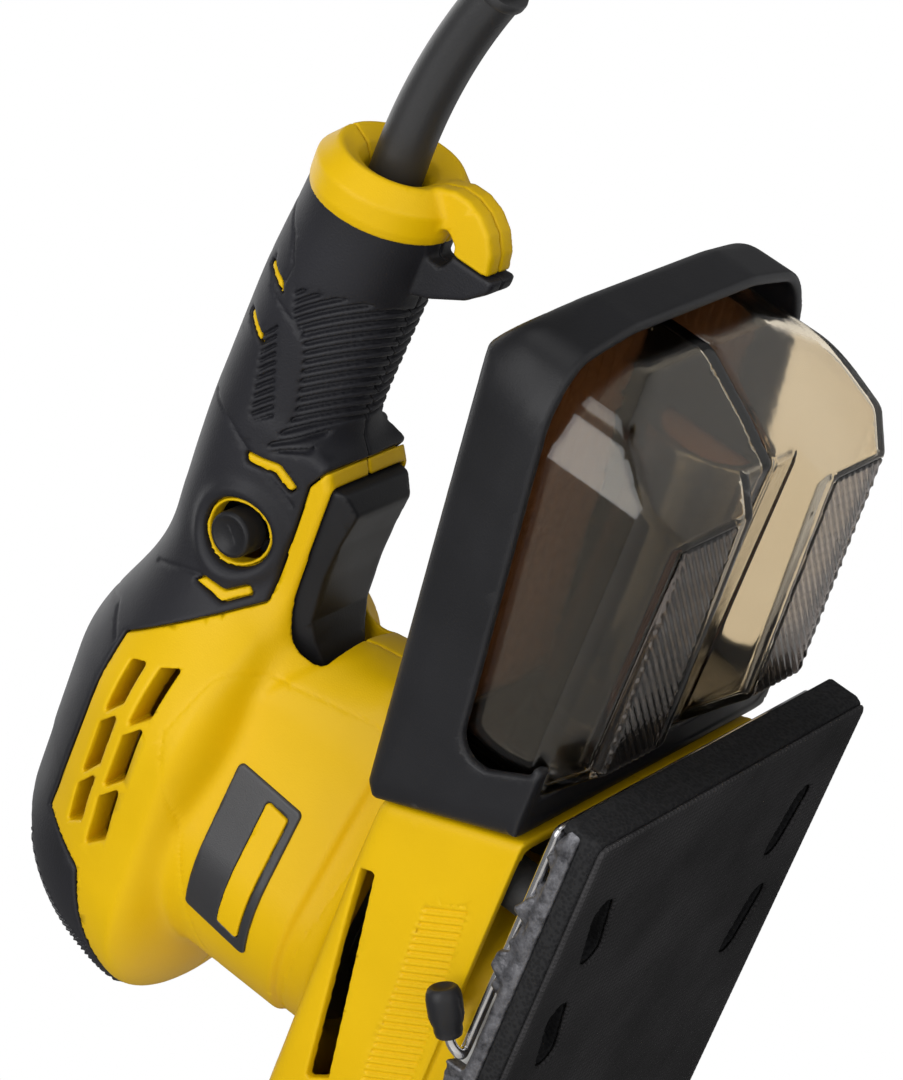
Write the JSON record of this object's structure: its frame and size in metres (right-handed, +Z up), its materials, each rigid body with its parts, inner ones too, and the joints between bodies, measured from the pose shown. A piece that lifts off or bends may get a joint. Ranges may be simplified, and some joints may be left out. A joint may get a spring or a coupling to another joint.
{
  "type": "orbital sheet sander",
  "caption": "Corded orbital sheet sander with a rear handle, long trigger, flat sanding base and a clear dust canister under the handle.",
  "frame": {"origin": "where the motor spindle's axis meets the underside of the sanding pad", "axes": "+X towards the handle's tail and the cord, +Y towards the tool's right, +Z up"},
  "size_m": [0.498, 0.1219, 0.1386],
  "materials": {
    "yellow_shell": "fine-grained satin plastic",
    "black_grip": "stippled soft rubber",
    "black_plastic": "satin plastic",
    "black_badge": "gloss plate",
    "smoke_clear": "smoked clear plastic",
    "cast_metal": "speckled die casting",
    "foam": "closed-cell foam",
    "hook_fabric": "woven hook sheet",
    "filter_paper": "pleated filter paper",
    "wire_chrome": "bright spring wire",
    "steel": "ground steel",
    "iron_core": "stacked sheet steel",
    "copper": "turned segments",
    "carbon": "pressed carbon",
    "brass_sleeve": "folded sheet",
    "post_rubber": "moulded rubber",
    "seal_felt": "pressed felt",
    "cord_rubber": "smooth rubber",
    "tie_plastic": "wrapped strip"
  },
  "bodies": {
    "housing": {"housing_left": "yellow_shell", "housing_right": "yellow_shell", "grip_left": "black_grip", "grip_right": "black_grip", "housing_screws": "steel", "badge_left": "black_badge", "badge_right": "black_badge", "switch_body": "black_plastic", "trigger_pin": "steel", "trigger_spring": "steel", "lock_spring": "steel", "motor_field": "iron_core", "carbon_brush_left": "carbon", "carbon_brush_right": "carbon", "brush_holder_left": "brass_sleeve", "brush_holder_right": "brass_sleeve", "bearing_bracket": "cast_metal", "lower_bearing": "steel", "upper_bearing": "steel", "dust_duct": "black_plastic", "bell_seal": "seal_felt", "suspension_post_rear_left": "post_rubber", "suspension_post_rear_right": "post_rubber", "suspension_post_front_left": "post_rubber", "suspension_post_front_right": "post_rubber", "strain_relief": "cord_rubber", "cord_lead": "cord_rubber", "cord_inner": "cord_rubber", "cord_clamp": "black_plastic", "cord_clamp_screws": "steel", "cord_coil": "cord_rubber", "cord_tie": "tie_plastic", "plug_body": "cord_rubber", "plug_pins": "brass_sleeve"},
    "armature": {"motor_shaft": "steel", "armature_core": "iron_core", "commutator": "copper", "cooling_fan": "black_plastic", "eccentric": "cast_metal", "spindle_screw": "steel"},
    "base": {"hook_sheet": "hook_fabric", "foam_pad": "foam", "base_frame": "cast_metal", "base_bearing": "steel", "bearing_clip": "steel"},
    "clamp_rear": {"clamp_wire_rear": "wire_chrome", "clamp_knob_rear": "post_rubber", "clamp_jaw_rear": "steel"},
    "clamp_front": {"clamp_wire_front": "wire_chrome", "clamp_knob_front": "post_rubber", "clamp_jaw_front": "steel"},
    "trigger": {"trigger": "black_plastic"},
    "lock_button": {"lock_button": "black_plastic"},
    "canister": {"canister_lid": "black_plastic", "canister_bin": "smoke_clear", "dust_tube": "smoke_clear", "dust_filter": "filter_paper"}
  },
  "joints": [
    {"name": "spindle_spin", "type": "hinge", "parent": "housing", "child": "armature", "pos_m": [0, 0, 0.06], "axis": [0, 0, 1], "continuous": true},
    {"name": "base_orbit", "type": "hinge", "parent": "armature", "child": "base", "pos_m": [0.001, 0, 0.013], "axis": [0, 0, 1], "continuous": true, "deforming": ["suspension_post_rear_left", "suspension_post_rear_right", "suspension_post_front_left", "suspension_post_front_right"]},
    {"name": "rear_clamp_hinge", "type": "hinge", "parent": "base", "child": "clamp_rear", "pos_m": [0.072, 0, 0.0106], "axis": [0, 1, 0], "range_deg": [0, 25]},
    {"name": "front_clamp_hinge", "type": "hinge", "parent": "base", "child": "clamp_front", "pos_m": [-0.107, 0, 0.0106], "axis": [0, -1, 0], "range_deg": [0, 25]},
    {"name": "trigger_hinge", "type": "hinge", "parent": "housing", "child": "trigger", "pos_m": [0.0455, 0, 0.098], "axis": [0, -1, 0], "range_deg": [0, 5], "stiffness_Nm_per_rad": 0.6, "springref_deg": -5.73, "deforming": ["trigger_spring"]},
    {"name": "lock_slide", "type": "slide", "parent": "housing", "child": "lock_button", "axis": [0, 1, 0], "range_m": [0, 0.003], "stiffness_N_per_m": 200, "springref_m": -0.003, "deforming": ["lock_spring"]},
    {"name": "canister_slide", "type": "slide", "parent": "housing", "child": "canister", "axis": [1, 0, 0], "range_m": [0, 0.065]}
  ],
  "couplings": [
    {"joint": "base_orbit", "follows": "spindle_spin", "ratio": -1}
  ]
}
